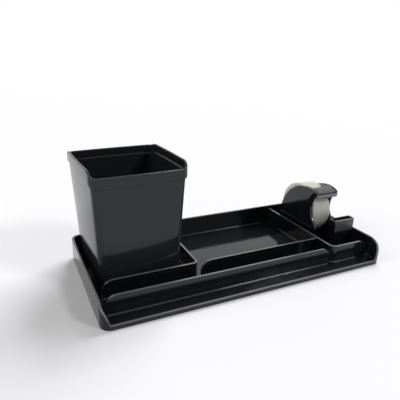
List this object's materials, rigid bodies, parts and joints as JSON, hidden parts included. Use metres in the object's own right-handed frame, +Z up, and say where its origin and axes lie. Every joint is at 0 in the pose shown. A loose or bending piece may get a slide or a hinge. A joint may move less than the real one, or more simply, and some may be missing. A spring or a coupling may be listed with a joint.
{
  "type": "desk organizer",
  "caption": "Low black desk tray with walled bays, a long phone slot, a pen groove, a tall square lift-out pen cup and a small lift-out tape dispenser with its roll.",
  "frame": {"origin": "on the table, under the centre of the tray", "axes": "+Z up, +X to the right along the tray's length, -Y towards the user, on the side of the low lip and the pen groove"},
  "size_m": [0.254, 0.118, 0.0997],
  "materials": {
    "tray_plastic": "glossy black injection-moulded plastic",
    "cup_plastic": "glossy black injection-moulded plastic",
    "dispenser_plastic": "glossy black injection-moulded plastic",
    "blade_steel": "stamped steel strip",
    "spool_plastic": "fine-textured black moulded plastic",
    "core_board": "wound pale board",
    "tape_film": "wound clear film tape, milky at the edges"
  },
  "bodies": {
    "tray": {"tray": "tray_plastic"},
    "pen_cup": {"pen_cup": "cup_plastic"},
    "dispenser": {"dispenser_body": "dispenser_plastic", "cutter_blade": "blade_steel", "tape_end": "tape_film"},
    "roll": {"tape_spool": "spool_plastic", "tape_core": "core_board", "tape_roll": "tape_film"}
  },
  "joints": [
    {"name": "cup_lift", "type": "slide", "parent": "tray", "child": "pen_cup", "axis": [0, 0, 1], "range_m": [0, 0.04]},
    {"name": "dispenser_lift", "type": "slide", "parent": "tray", "child": "dispenser", "axis": [0, 0, 1], "range_m": [0, 0.04]},
    {"name": "roll_spin", "type": "hinge", "parent": "dispenser", "child": "roll", "pos_m": [0.1, 0.02, 0.0308], "axis": [1, 0, 0], "continuous": true}
  ]
}
